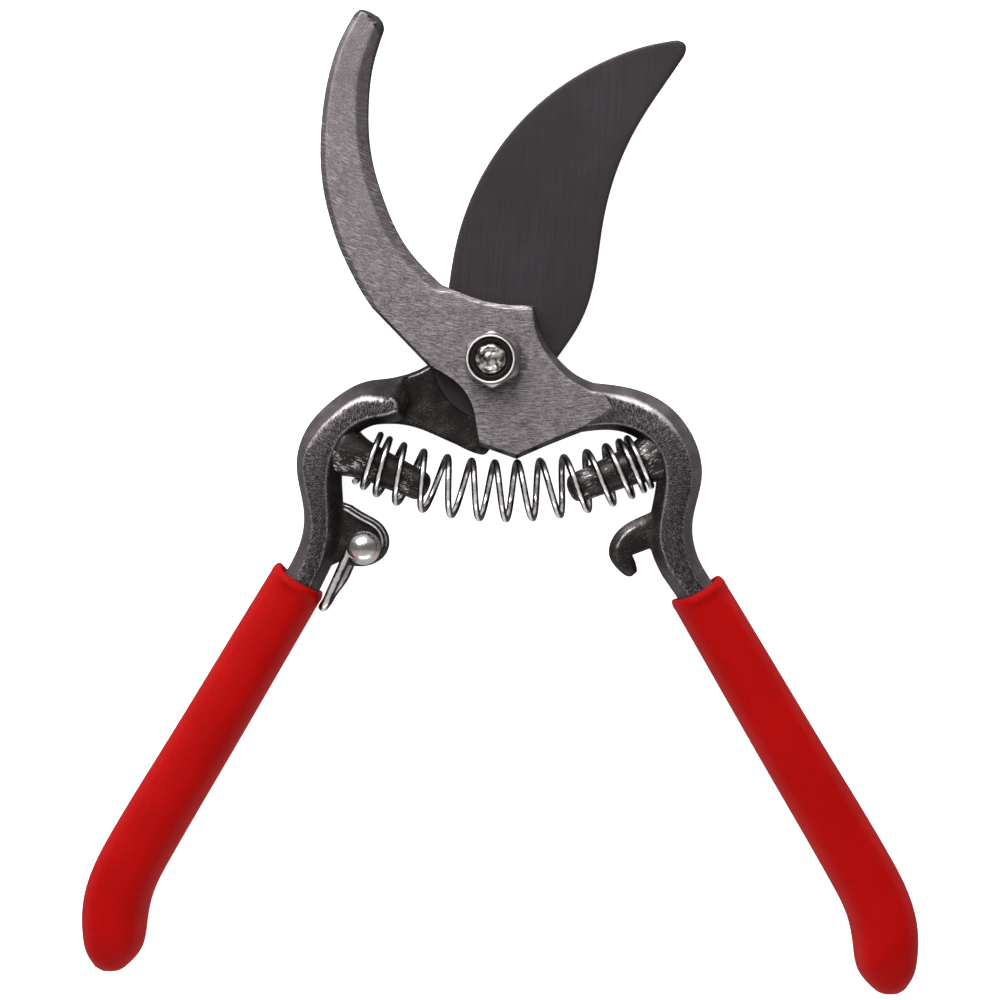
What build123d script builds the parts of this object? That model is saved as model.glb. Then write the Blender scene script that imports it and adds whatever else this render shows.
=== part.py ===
from build123d import *
import os
from math import cos, pi, radians, sin

# Forged bypass pruning shears, lying flat and fully open.
#
# The origin is on the pivot bolt's axis, at the face of the bolt's head that the shears lie on.
# +Z runs along the bolt from its head to its nut, +Y runs towards the points and -Y along the handles.
# Two forgings cross at the bolt as a half lap. The hook forging is the upper half of the lap, and
# carries the counter-blade, the right arch and the right handle. The blade forging is the lower half,
# and carries the cutting blade, the left arch and the left handle. All sizes are in millimetres.

# Levels along the bolt
PLAY = 0.05                # running gap between faces that turn on each other
BOLT_HEAD = 4.0            # height of the bolt's head
SHEAR_PLANE = 8.0          # where the blade slides past the hook, and the middle of both handles
CHEEK_TOP = 12.5           # ground face of the hook and its cheek
WEB_TOP = 7.4              # rough forged web beside the ground boss
ARCH_HALF = 5.0            # half the thickness of an arch
ARCH_SOFTENING = 2.0       # chamfer along the arches' edges
LUG_HALF = 2.3             # half the thickness of a latch lug
TANG_ROOT = (7.8, 8.0)     # width and thickness of a handle where it enters its grip
TANG_TIP = (6.0, 5.0)      # the same at the end of the steel

# Pivot fasteners, M6
BOLT_RADIUS = 3.0
HEX_FLATS = 10.0           # across flats, for the head and for the nut
NUT_HEX = 4.4              # height of the nut's hexagon
NUT_COLLAR = 1.6           # height of the collar that holds the nylon ring
COLLAR_RADIUS = 4.9
INSERT_RADIUS = 4.1
COLLAR_LIP = 0.3           # how far the collar stands above its ring
CROWN_RADIUS = 5.8         # the hexagons' corners are turned down to this
HEAD_CHAMFER = 0.9
NUT_CHAMFER = 0.7
END_CHAMFER = 0.5          # on the bolt's threaded end
BOLT_END = 18.7            # level of the bolt's end, just past the nut
BOSS_RADIUS = 12.2         # ground disc around the pivot on the blade forging
BLADE_BEVEL = (3.4, 5.0)   # height and width of the bevel ground on the blade's back
HOOK_BEVEL = (1.0, 2.0)    # height and width of the bevel along the hook's inner edge
LAP_RADIUS = 20.0          # full thickness starts outside this radius on the hook forging

# Return spring
WIRE_RADIUS = 0.65
SPRING_TURNS = 14
COIL_RADIUS = 5.7          # middle coils, to the middle of the wire
END_COIL_RADIUS = 5.3      # last coil on each peg
NARROW_FROM = 0.6          # share of the half length from which the coils grow smaller
SPRING_BEND = 67.5         # radius of the spring's sagging axis
SPRING_REACH = 24.0        # degrees of that bend, each side of its lowest point
SPRING_LEAN = 0.02         # share by which the left side of the bend is longer than the right
SPRING_LOW = (2.4, -26.4)  # lowest point of the axis
SPRING_LIFT = (0.7, 0.3)   # how far the left and right ends ride above the bend
COIL_CLOSING = (0.135, 0.035)  # how much closer the end coils are than the middle ones
PEG_ROOT = 4.15            # radius of a peg at its root
PEG_TIP = 2.9
PEG_ROUNDING = 1.0

# Latch
RIVET = (-25.8, -37.7)
RIVET_RADIUS = 1.5
RIVET_DOME = 3.4           # radius of the ball head
RIVET_TAIL = 2.8           # radius of the low head on the back
TAIL_LEVEL = 1.6           # level of that head's face
TAIL_CHAMFER = 0.9
BAIL_WIRE = 0.9            # radius of the bail's wire
BAIL_REACH = 14.4          # rivet to the middle of the cross-bar
BAIL_HALF = 3.9            # middle plane to the middle of a leg
BAIL_ANGLE = -125.0        # direction from the rivet, in degrees from +X
BAIL_BEND = 1.4            # radius of the bend between a leg and the cross-bar

# Grips: mouth, lean from -Y and length, then the shape of the end
LEFT_MOUTH = (-38.6, -43.6)
RIGHT_MOUTH = (39.8, -45.0)
LEFT_LEAN = -30.8
RIGHT_LEAN = 30.4
LEFT_GRIP = 87.9
RIGHT_GRIP = 91.3
MOUTH_WIDTH = 11.4
MOUTH_THICKNESS = 14.4
GRIP_THICKNESS = 16.0
# distance from the end, sideways shift away from the other grip, width, share of the full thickness
GRIP_END = [
    (25.0, 0.0, 12.9, 1.0),
    (18.0, -0.5, 13.2, 1.0),
    (12.8, -1.9, 14.0, 1.0),
    (7.8, -3.8, 13.7, 0.95),
    (3.8, -4.8, 10.4, 0.76),
    (1.3, -5.3, 6.2, 0.48),
    (0.2, -5.4, 2.6, 0.2),
]
TANG_STOP = 16.0           # the steel ends this far short of the grip's end
TANG_LEAD = 1.0            # the tang starts this far outside the grip's mouth

LONG_EDGE = 10.0           # edges longer than this are softened on the arches
RIM_EDGE = 30.0            # edges longer than this can carry a ground bevel


def outline(start, *stretches):
    """A closed face. Each stretch runs on from the last: straight to one point, or curved through more."""
    edges = []
    here = start
    for points in stretches:
        if len(points) == 1:
            edges.append(Line(here, points[0]))
        else:
            edges.append(Spline(here, *points))
        here = points[-1]
    return make_face(Wire(edges))


def slab(face, bottom, top):
    """The face as a flat solid between two levels."""
    return Pos(0, 0, bottom) * extrude(face, top - bottom)


def disc(radius, bottom, top, centre=(0, 0)):
    """A cylinder along Z between two levels."""
    return Pos(centre[0], centre[1], (bottom + top) / 2) * Cylinder(radius, top - bottom)


def softened(solid, amount):
    """The solid with a chamfer along the long edges of its top and bottom faces."""
    rims = solid.edges().group_by(Axis.Z)[0] + solid.edges().group_by(Axis.Z)[-1]
    return chamfer(rims.filter_by(lambda edge: edge.length > LONG_EDGE), amount)


def bevelled(solid, bevel, face, beside):
    """The solid with a ground bevel (height, width) on a face, along the rim nearest to a point."""
    rim = face.edges().filter_by(lambda edge: edge.length > RIM_EDGE).sort_by_distance(beside)[0]
    return solid.chamfer(bevel[1], bevel[0], [rim], face=face)


def handle_frame(mouth, lean, along):
    """The plane across a handle at a distance past its grip's mouth. Its x points away from the other."""
    a = radians(lean)
    outward = 1 if lean > 0 else -1
    centre = (mouth[0] + along * sin(a), mouth[1] - along * cos(a), SHEAR_PLANE)
    return Plane(centre, x_dir=(outward * cos(a), outward * sin(a), 0), z_dir=(sin(a), -cos(a), 0))


def tang(mouth, lean, length):
    """The steel inside a grip, from just before its mouth."""
    root = handle_frame(mouth, lean, -TANG_LEAD) * Rectangle(*TANG_ROOT)
    tip = handle_frame(mouth, lean, length - TANG_STOP) * Rectangle(*TANG_TIP)
    return loft([root, tip])


def grip_skin(mouth, lean, length):
    """The outside of a vinyl grip: oval sections from the mouth to the turned-in end."""
    sections = [handle_frame(mouth, lean, 0) * Ellipse(MOUTH_WIDTH / 2, MOUTH_THICKNESS / 2)]
    for from_end, shift, width, share in GRIP_END:
        across = handle_frame(mouth, lean, length - from_end)
        sections.append(across * Pos(shift, 0) * Ellipse(width / 2, share * GRIP_THICKNESS / 2))
    return loft(sections, ruled=True)


def peg(root, tip):
    """A tapered spring peg with a rounded end, from inside an arch to its tip."""
    direction = Vector(*tip, SHEAR_PLANE) - Vector(*root, SHEAR_PLANE)
    across = Plane(Vector(*root, SHEAR_PLANE), z_dir=direction)
    rod = across * Pos(0, 0, direction.length / 2) * Cone(PEG_ROOT, PEG_TIP, direction.length)
    end = rod.edges().sort_by_distance(Vector(*tip, SHEAR_PLANE))[0]
    return fillet(end, PEG_ROUNDING)


def hook_handle():
    """Upper half: hooked counter-blade, cheek, right arch, spring peg, latch lug and tang."""
    jaw = outline(
        (-28.6, 67.4),
        [(-25.7, 69.8), (-22.4, 67.6)],
        [(-24.2, 58.2), (-25.0, 48.6), (-23.6, 36.6), (-20.2, 27.0), (-13.4, 17.4), (-8.8, 14.0)],
        [(-3.5, 11.8), (2.1, 10.6), (7.9, 10.4)],
        [(9.6, 4.4), (13.3, -0.6), (19.9, -4.8)],
        [(24.0, -5.4)],
        [(24.0, -14.2)],
        [(17.6, -14.6), (10.7, -17.3), (4.5, -20.0)],
        [(-3.1, -17.3)],
        [(-4.0, -11.6), (-6.3, -6.4), (-12.8, -1.8)],
        [(-24.4, 10.2)],
        [(-28.6, 17.4), (-32.4, 27.0), (-34.6, 41.4), (-32.4, 58.2), (-28.6, 67.4)],
    )
    arch = outline(
        (19.9, -4.8),
        [(27.1, -5.8), (34.6, -9.2), (39.9, -15.9), (41.5, -23.3), (39.5, -33.5), (43.2, -43.2)],
        [(43.9, -44.6)],
        [(36.9, -47.9)],
        [(33.7, -43.4), (31.3, -37.5), (31.6, -29.9), (32.5, -23.0), (26.5, -14.8)],
        [(17.9, -13.5)],
        [(19.9, -4.8)],
    )
    lug = outline(
        (33.5, -29.5),
        [(30.6, -31.0)],
        [(24.0, -35.4), (23.0, -39.0), (26.5, -43.4), (28.7, -41.8)],
        [(28.0, -38.9)],
        [(31.1, -38.0)],
        [(35.0, -40.5)],
        [(33.5, -29.5)],
    )
    plate = slab(jaw, SHEAR_PLANE, CHEEK_TOP)
    solid = bevelled(plate, HOOK_BEVEL, plate.faces().sort_by(Axis.Z)[-1], (-25.0, 46.2, CHEEK_TOP))
    solid += softened(slab(arch, SHEAR_PLANE - ARCH_HALF, SHEAR_PLANE + ARCH_HALF), ARCH_SOFTENING)
    solid += slab(lug, SHEAR_PLANE - LUG_HALF, SHEAR_PLANE + LUG_HALF)
    solid += peg((33.5, -19.0), (14.9, -26.4))
    solid += tang(RIGHT_MOUTH, RIGHT_LEAN, RIGHT_GRIP)
    solid -= disc(LAP_RADIUS, 0, SHEAR_PLANE)
    solid -= disc(BOLT_RADIUS, SHEAR_PLANE, CHEEK_TOP)
    return solid


def blade_handle():
    """Lower half: cutting blade, boss, web, left arch, spring peg, latch lug and tang."""
    blade = outline(
        (36.4, 63.9),
        [(38.4, 62.9), (38.0, 60.6)],
        [(28.4, 46.2), (24.2, 36.6), (20.8, 22.2), (19.4, 12.6), (13.0, 0.8)],
        [(-1.0, -18.2)],
        [(-1.8, -19.1), (-4.0, -18.9)],
        [(-11.3, -15.4), (-17.6, -13.1), (-24.2, -13.1)],
        [(-24.0, -6.0)],
        [(-14.8, -1.9)],
        [(-12.0, 2.0)],
        [(-9.9, 8.6), (-9.0, 15.0)],
        [(-6.6, 27.0), (0.4, 41.4), (11.8, 53.4), (24.6, 60.6), (36.4, 63.9)],
    )
    web = outline((-30, 4), [(-9.0, 4.0)], [(3.0, -12.6)], [(3.0, -30.0)], [(-30.0, -30.0)], [(-30, 4)])
    arch = outline(
        (-17.6, -3.0),
        [(-24.9, -4.3), (-32.2, -8.2), (-37.6, -14.4), (-39.4, -22.0), (-37.9, -31.5), (-41.6, -42.2)],
        [(-42.7, -44.2)],
        [(-35.9, -48.2)],
        [(-32.4, -41.0), (-30.4, -32.0), (-30.4, -22.6), (-26.0, -13.8), (-21.7, -12.8)],
        [(-17.2, -11.6), (-16.4, -6.8), (-17.6, -3.0)],
    )
    lug = outline(
        (-32.0, -28.0),
        [(-28.5, -29.2)],
        [(-22.9, -32.6), (-20.9, -36.8), (-24.0, -40.9), (-31.3, -40.6)],
        [(-34.0, -42.0)],
        [(-32.0, -28.0)],
    )
    plate = slab(blade, BOLT_HEAD, SHEAR_PLANE - PLAY)
    solid = bevelled(plate, BLADE_BEVEL, plate.faces().sort_by(Axis.Z)[0], (-3.0, 36.0, BOLT_HEAD))
    solid -= slab(web, WEB_TOP, SHEAR_PLANE)
    solid += disc(BOSS_RADIUS, BOLT_HEAD, SHEAR_PLANE - PLAY)
    solid += softened(slab(arch, SHEAR_PLANE - ARCH_HALF, SHEAR_PLANE + ARCH_HALF), ARCH_SOFTENING)
    solid += slab(lug, SHEAR_PLANE - LUG_HALF, SHEAR_PLANE + LUG_HALF)
    solid += peg((-31.5, -17.7), (-13.1, -26.1))
    solid += tang(LEFT_MOUTH, LEFT_LEAN, LEFT_GRIP)
    solid -= disc(BOLT_RADIUS + PLAY, BOLT_HEAD, SHEAR_PLANE)
    solid -= disc(RIVET_RADIUS, 0, 2 * SHEAR_PLANE, RIVET)
    return solid


def hexagon(bottom, top):
    """A hexagonal prism on the pivot axis with two corners along Y."""
    return slab(RegularPolygon(HEX_FLATS / 2, 6, major_radius=False, rotation=30), bottom, top)


def pivot_bolt():
    crown = chamfer(disc(CROWN_RADIUS, 0, BOLT_HEAD - PLAY).edges().group_by(Axis.Z)[0], HEAD_CHAMFER)
    shank = disc(BOLT_RADIUS, BOLT_HEAD - PLAY, BOLT_END)
    return (hexagon(0, BOLT_HEAD - PLAY) & crown) + chamfer(shank.edges().group_by(Axis.Z)[-1], END_CHAMFER)


def pivot_nut():
    top = CHEEK_TOP + NUT_HEX
    crown = chamfer(disc(CROWN_RADIUS, CHEEK_TOP, top).edges().group_by(Axis.Z)[-1], NUT_CHAMFER)
    collar = disc(COLLAR_RADIUS, top, top + NUT_COLLAR)
    bore = disc(BOLT_RADIUS, CHEEK_TOP, top + NUT_COLLAR)
    seat = disc(INSERT_RADIUS, top, top + NUT_COLLAR - COLLAR_LIP)
    return (hexagon(CHEEK_TOP, top) & crown) + collar - bore - seat


def nut_insert():
    top = CHEEK_TOP + NUT_HEX
    ring = disc(INSERT_RADIUS, top, top + NUT_COLLAR - COLLAR_LIP)
    return ring - disc(BOLT_RADIUS, top, top + NUT_COLLAR)


def return_spring():
    """Open coil on a sagging axis, with closer and smaller coils where it sits on the pegs.

    It starts and ends at the lower side. Each half turn is a semicircle between a point on the coil's
    lower side and one on its upper side, the first of them on the back.
    """
    crests = []
    halves = 2 * SPRING_TURNS
    for i in range(halves + 1):
        share = 2 * i / halves - 1
        closing = COIL_CLOSING[0] * sin(pi * share) - COIL_CLOSING[1] * sin(2 * pi * share)
        bend = radians(SPRING_REACH) * (share + closing) * (1 - SPRING_LEAN * share)
        end = max(0.0, abs(share) - NARROW_FROM) / (1 - NARROW_FROM)
        radius = COIL_RADIUS + (END_COIL_RADIUS - COIL_RADIUS) * end
        reach = SPRING_BEND + radius * (-1) ** i
        x = SPRING_LOW[0] + reach * sin(bend)
        y = SPRING_LOW[1] + SPRING_BEND - reach * cos(bend)
        y += SPRING_LIFT[share > 0] * end
        crests.append(Vector(x, y, SHEAR_PLANE))
    arcs = []
    for i, (here, there) in enumerate(zip(crests, crests[1:])):
        out = Vector(0, 0, -(there - here).length / 2) * (-1) ** i
        arcs.append(ThreePointArc(here, (here + there) / 2 + out, there))
    path = Wire(arcs)
    return sweep(Plane(path @ 0, z_dir=path % 0) * Circle(WIRE_RADIUS), path=path)


def latch_rivet():
    """Pin through the left lug and the bail's eyes, with a ball head above and a low head below."""
    eye_top = SHEAR_PLANE + BAIL_HALF + BAIL_WIRE + PLAY
    eye_bottom = 2 * SHEAR_PLANE - eye_top
    pin = disc(RIVET_RADIUS, eye_bottom, eye_top, RIVET)
    tail = chamfer(disc(RIVET_TAIL, TAIL_LEVEL, eye_bottom, RIVET).edges().group_by(Axis.Z)[0], TAIL_CHAMFER)
    ball = Pos(RIVET[0], RIVET[1], eye_top) * Sphere(RIVET_DOME)
    gap = disc(2 * RIVET_DOME, eye_bottom, eye_top, RIVET)
    return (tail + ball - gap) + pin


def latch_bail():
    """Wire stirrup: two eyes on the rivet, two legs and a cross-bar along Z."""
    a = radians(BAIL_ANGLE)
    eye = RIVET_RADIUS + PLAY + BAIL_WIRE
    along = Plane((RIVET[0], RIVET[1], SHEAR_PLANE), x_dir=(cos(a), sin(a), 0), z_dir=(sin(a), -cos(a), 0))
    corners = [(eye, BAIL_HALF), (BAIL_REACH, BAIL_HALF), (BAIL_REACH, -BAIL_HALF), (eye, -BAIL_HALF)]
    path = along * FilletPolyline(*corners, radius=BAIL_BEND)
    wire = sweep(Plane(path @ 0, z_dir=path % 0) * Circle(BAIL_WIRE), path=path)
    for side in (1, -1):
        wire += Pos(RIVET[0], RIVET[1], SHEAR_PLANE + side * BAIL_HALF) * Torus(eye, BAIL_WIRE)
    return wire


os.makedirs("parts", exist_ok=True)
hook_forging = hook_handle()
blade_forging = blade_handle()
parts = {
    "hook_handle": hook_forging,
    "blade_handle": blade_forging,
    "left_grip": grip_skin(LEFT_MOUTH, LEFT_LEAN, LEFT_GRIP) - blade_forging,
    "right_grip": grip_skin(RIGHT_MOUTH, RIGHT_LEAN, RIGHT_GRIP) - hook_forging,
    "pivot_bolt": pivot_bolt(),
    "pivot_nut": pivot_nut(),
    "nut_insert": nut_insert(),
    "return_spring": return_spring(),
    "latch_rivet": latch_rivet(),
    "latch_bail": latch_bail(),
}
for name, solid in parts.items():
    export_step(solid, f"parts/{name}.step")
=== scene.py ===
from math import atan2, cos, hypot, pi, radians, sin

import bmesh
import bpy
import numpy as np
from mathutils import Matrix, Vector, noise
from mathutils.geometry import delaunay_2d_cdt


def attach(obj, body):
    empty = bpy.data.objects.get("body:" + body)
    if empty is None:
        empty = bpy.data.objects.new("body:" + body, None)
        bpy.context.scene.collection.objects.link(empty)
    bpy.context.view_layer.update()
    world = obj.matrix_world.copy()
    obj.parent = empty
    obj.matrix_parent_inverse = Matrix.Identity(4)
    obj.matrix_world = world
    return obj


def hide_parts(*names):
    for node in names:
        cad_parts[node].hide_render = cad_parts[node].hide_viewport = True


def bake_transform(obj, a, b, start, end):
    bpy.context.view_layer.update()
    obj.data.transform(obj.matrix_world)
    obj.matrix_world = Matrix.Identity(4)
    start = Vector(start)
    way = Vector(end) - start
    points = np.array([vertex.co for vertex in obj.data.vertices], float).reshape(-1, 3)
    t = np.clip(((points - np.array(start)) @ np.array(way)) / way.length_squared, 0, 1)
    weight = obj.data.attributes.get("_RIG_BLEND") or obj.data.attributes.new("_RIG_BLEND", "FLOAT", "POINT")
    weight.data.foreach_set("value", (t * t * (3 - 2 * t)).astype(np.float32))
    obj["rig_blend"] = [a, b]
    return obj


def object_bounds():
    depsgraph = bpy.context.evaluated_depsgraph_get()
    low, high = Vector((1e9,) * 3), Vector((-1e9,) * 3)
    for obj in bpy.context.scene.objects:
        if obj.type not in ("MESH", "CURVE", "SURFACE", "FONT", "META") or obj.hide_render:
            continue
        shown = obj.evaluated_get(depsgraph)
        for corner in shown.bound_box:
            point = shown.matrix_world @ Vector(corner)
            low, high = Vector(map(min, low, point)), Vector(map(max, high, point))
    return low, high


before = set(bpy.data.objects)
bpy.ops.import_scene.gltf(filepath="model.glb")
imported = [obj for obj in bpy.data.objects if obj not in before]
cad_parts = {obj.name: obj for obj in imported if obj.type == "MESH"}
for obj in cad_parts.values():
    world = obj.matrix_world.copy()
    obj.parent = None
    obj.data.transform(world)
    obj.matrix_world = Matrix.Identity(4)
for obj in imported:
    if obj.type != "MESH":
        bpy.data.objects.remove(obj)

# Shapes and looks of forged bypass pruning shears. Shapes are worked out in millimetres in the frame's
# own axes (+Z from the bolt's head to its nut, +Y towards the points) and turned into metres as meshes
# are made. Forgings are reliefs: flat outlines whose upper and lower skins rise from the rim.

cad_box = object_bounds()

MM = 0.001
PLAY = 0.05              # gap between the two laps
LAP = 8.0                # level where the halves slide on each other, the middle of both handles
CHEEK = 12.5             # ground face of the hook and cheek
RIB = 12.9               # top of the forged ribs
WEB = 7.4                # rough web beside the ground boss
BLADE_BACK = 4.0         # level of the blade's back
LUG_HALF = 2.3           # half the thickness of the lugs
PEG_HALF = 4.3           # half the greatest thickness of the spring pegs
BOSS_RADIUS = 12.2
SHANK_RADIUS = 3.0
RIVET = (-25.8, -37.7)   # the latch rivet's axis

RIM_STEP = 0.45          # spacing of an outline's points
FILL_STEP = 0.8          # spacing of the loose points inside an outline
CREASE_GAP = 0.2         # no loose point lies nearer to a crease
AROUND = 120             # points round the nut and the bolt


# ---- outlines

def arc_lengths(points):
    """Running length along a list of points."""
    steps = np.hypot(*np.diff(points, axis=0).T)
    return np.concatenate([[0.0], np.cumsum(steps)])


def curve_through(points, step):
    """Points about a step apart on a smooth curve through the given ones."""
    points = np.array(points, float)
    if len(points) == 2:
        count = max(1, int(np.hypot(*(points[1] - points[0])) / step))
        share = np.linspace(0, 1, count + 1)[:, None]
        return points[0] * (1 - share) + points[1] * share
    knots = arc_lengths(points)
    count = max(2, int(knots[-1] / step))
    return natural_spline(knots, points, np.linspace(0, knots[-1], count + 1))


def natural_spline(knots, values, wanted):
    """A natural cubic spline through values at knots, read at the wanted places."""
    n = len(knots)
    gap = np.diff(knots)
    slope = np.diff(values, axis=0) / gap[:, None]
    matrix = np.eye(n)
    right = np.zeros_like(values)
    for i in range(1, n - 1):
        matrix[i, i - 1] = gap[i - 1]
        matrix[i, i] = 2 * (gap[i - 1] + gap[i])
        matrix[i, i + 1] = gap[i]
        right[i] = 6 * (slope[i] - slope[i - 1])
    bend = np.linalg.solve(matrix, right)
    i = np.clip(np.searchsorted(knots, wanted) - 1, 0, n - 2)
    a = (knots[i + 1] - wanted)[:, None]
    b = (wanted - knots[i])[:, None]
    h = gap[i][:, None]
    return (
        bend[i] * a ** 3 / (6 * h)
        + bend[i + 1] * b ** 3 / (6 * h)
        + (values[i] / h - bend[i] * h / 6) * a
        + (values[i + 1] / h - bend[i + 1] * h / 6) * b
    )


def spread(values, count):
    """One value, or several evenly spaced ones, read at count places along a stretch."""
    values = np.atleast_1d(np.asarray(values, float))
    return np.interp(np.linspace(0, 1, count), np.linspace(0, 1, len(values)), values)


def to_segments(q, starts, spans):
    """How far along each segment the place nearest to each point lies, and how far away it is."""
    length = np.maximum(np.sum(spans * spans, axis=1), 1e-12)
    share = np.clip(((q[:, None] - starts) * spans).sum(2) / length, 0, 1)
    return share, np.hypot(*np.moveaxis(q[:, None] - (starts + share[:, :, None] * spans), 2, 0))


class Rim:
    """A closed outline. Each stretch is (points, widths, falls, darkness, brightness): how wide its edge band
    is, how far the skin falls across it, how dark the band is, from dark scale with painted shade, and how
    bright its ridge is, from rubbing with a painted highlight, from 0 to 1. Each is one value, or several
    spaced along the stretch. The stretches run on from each other and close on the start."""

    def __init__(self, stretches):
        points, columns = [], []
        for i, (stretch, *values) in enumerate(stretches):
            following = stretches[(i + 1) % len(stretches)][0][0]
            run = curve_through(list(stretch) + [following], RIM_STEP)[:-1]
            points.append(run)
            columns.append(np.stack([spread(value, len(run)) for value in values], axis=1))
        self.points = np.concatenate(points)
        columns = np.concatenate(columns)
        self.values = sum(np.roll(columns, shift, axis=0) for shift in (-2, -1, 0, 1, 2)) / 5
        self.widths = self.values[:, 0]
        self.ends = np.roll(self.points, -1, axis=0)
        area = np.sum(self.points[:, 0] * self.ends[:, 1] - self.ends[:, 0] * self.points[:, 1])
        self.turn = 1 if area > 0 else -1

    def inside(self, q):
        """Whether each point lies within the outline."""
        x, y = q[:, 0, None], q[:, 1, None]
        ax, ay = self.points.T
        bx, by = self.ends.T
        spans = (ay > y) != (by > y)
        rise = np.where(by == ay, 1.0, by - ay)
        crossing = x < (bx - ax) * (y - ay) / rise + ax
        return np.sum(spans & crossing, axis=1) % 2 == 1

    def nearest(self, q):
        """Distance of each point to the outline, with the stretch's values there."""
        share, away = to_segments(q, self.points, self.ends - self.points)
        best = np.argmin(away, axis=1)
        row = np.arange(len(q))
        mix = share[row, best][:, None]
        values = self.values[best] * (1 - mix) + self.values[(best + 1) % len(self.points)] * mix
        return away[row, best], values

    def offset(self, amounts):
        """The outline's points moved inwards, each by its own amount."""
        along = np.roll(self.points, -1, axis=0) - np.roll(self.points, 1, axis=0)
        along /= np.maximum(np.hypot(*along.T), 1e-9)[:, None]
        inward = np.stack([-along[:, 1], along[:, 0]], axis=1) * self.turn
        return self.points + inward * np.asarray(amounts)[:, None]


def soft_min(a, b, radius):
    """The lower of two levels, rounded over where they meet."""
    near = np.maximum(radius - np.abs(a - b), 0) / radius
    return np.minimum(a, b) - near * near * radius / 4


def soft_max(a, b, radius):
    return -soft_min(-a, -b, radius)


def ramp(value, low, high):
    """Rises smoothly from 0 at low to 1 at high."""
    t = np.clip((value - low) / (high - low), 0, 1)
    return t * t * (3 - 2 * t)


# ---- the forgings' outlines

GROUND, FORGED, BLADE = range(3)      # slots in the forgings' material lists
MARKS = ("rib", "darkness_and_shade", "shine")      # point attributes that vary the forged skin, from 0 to 1: hammered rib top; dark scale with painted shade; ridges bright from rubbing with painted highlights


def hook_rim():
    """Counter-blade, cheek, right arch, neck and tang."""
    return Rim([
        ([(-27.7, 68.4), (-26.6, 69.3), (-25.0, 69.05)], 0.8, 1.2, 0.5, 0.0),
        ([(-22.9, 67.9), (-21.95, 66.4)], (0.9, 1.6), (1.2, 1.6), 0.45, 0.0),
        ([(-22.4, 64.4), (-24.2, 58.2), (-25.0, 51.0), (-24.6, 41.4), (-22.0, 31.8), (-17.4, 22.2)],
         (1.7, 2.4, 2.3, 2.4, 2.3, 2.1), 1.6, 0.34, 0.0),
        ([(-10.4, 14.6)], (1.5, 1.0), 1.2, (0.4, 0.1), 0.1),
        ([(-8.8, 13.9), (-3.5, 11.8), (2.1, 10.6)], 0.8, 0.35, 0.4, 0.05),
        ([(7.9, 10.4), (8.8, 6.1), (10.5, 2.8), (13.3, -0.6), (16.7, -3.4)], (0.4, 1.0, 1.5, 1.8), (1.6, 3.0),
         0.35, (0.8, 0.2, 0.1, 0.2)),
        ([(19.9, -4.8), (27.1, -5.8), (34.6, -9.2), (39.9, -15.9), (41.5, -23.3), (39.6, -33.0),
          (40.8, -39.8)],
         (2.0, 2.3, 2.6, 2.7, 2.7, 2.3, 1.9, 2.0, 2.4, 2.4), 3.2, (0.0, 0.0, 0.15, 0.1),
         (0.4, 0.9, 0.7, 0.34, 0.3, 0.3, 0.28, 0.2)),
        ([(44.0, -45.2)], 2.0, 2.0, 0.1, 0.2),
        ([(46.2, -52.4)], 1.0, 2.0, 0.8, 0.0),
        ([(41.6, -55.2)], 1.0, 2.0, 0.8, 0.0),
        ([(37.1, -48.3)], 2.0, 3.0, (0.2, 0.6), 0.3),
        ([(33.7, -43.4), (31.3, -37.5), (31.6, -29.9), (32.5, -23.0), (30.4, -17.4), (25.4, -14.5)],
         (1.8, 2.0, 2.1, 2.0, 1.9, 1.7, 1.4, 1.1, 1.0), 3.2, (0.7, 0.95, 1.0, 1.0), 0.36),
        ([(17.6, -14.6), (10.7, -17.3)], (0.9, 0.8), 2.2, 0.95, 0.1),
        ([(4.5, -20.0)], 0.7, 2.2, 0.95, 0.1),
        ([(-3.1, -17.3)], 0.3, 0.5, 0.9, 0.0),
        ([(-3.7, -13.6), (-4.4, -10.1), (-6.3, -6.4), (-9.4, -3.7)], 0.3, 0.5, 0.9, 0.0),
        ([(-12.8, -1.8)], 0.5, 0.8, 0.8, 0.0),
        ([(-24.4, 10.2), (-26.0, 12.6), (-28.6, 17.4), (-30.8, 22.2), (-32.4, 27.0), (-33.6, 31.8),
          (-34.3, 36.6), (-34.5, 41.4), (-34.3, 46.2), (-33.8, 51.0), (-32.3, 58.2), (-30.6, 63.0)],
         1.1, 0.6, 0.5, 0.0),
    ])


def hook_lug_rim():
    """The hooked lug that the latch's bar drops into."""
    return Rim([
        ([(33.5, -29.5)], 0.5, 0.3, 1.0, 0.0),
        ([(30.6, -31.0), (24.0, -35.4), (23.0, -39.0), (25.0, -42.3), (27.2, -43.5)], 1.4, 1.1, 0.97,
         (0.05, 0.42, 0.34, 0.1, 0.1)),
        ([(28.6, -42.4), (28.2, -40.6)], 0.8, 0.8, 1.0, 0.1),
        ([(27.6, -39.2)], 0.4, 0.3, 1.0, 0.1),
        ([(31.0, -37.9)], 0.4, 0.3, 1.0, 0.0),
        ([(35.0, -40.5)], 0.5, 0.3, 1.0, 0.0),
    ])


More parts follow.
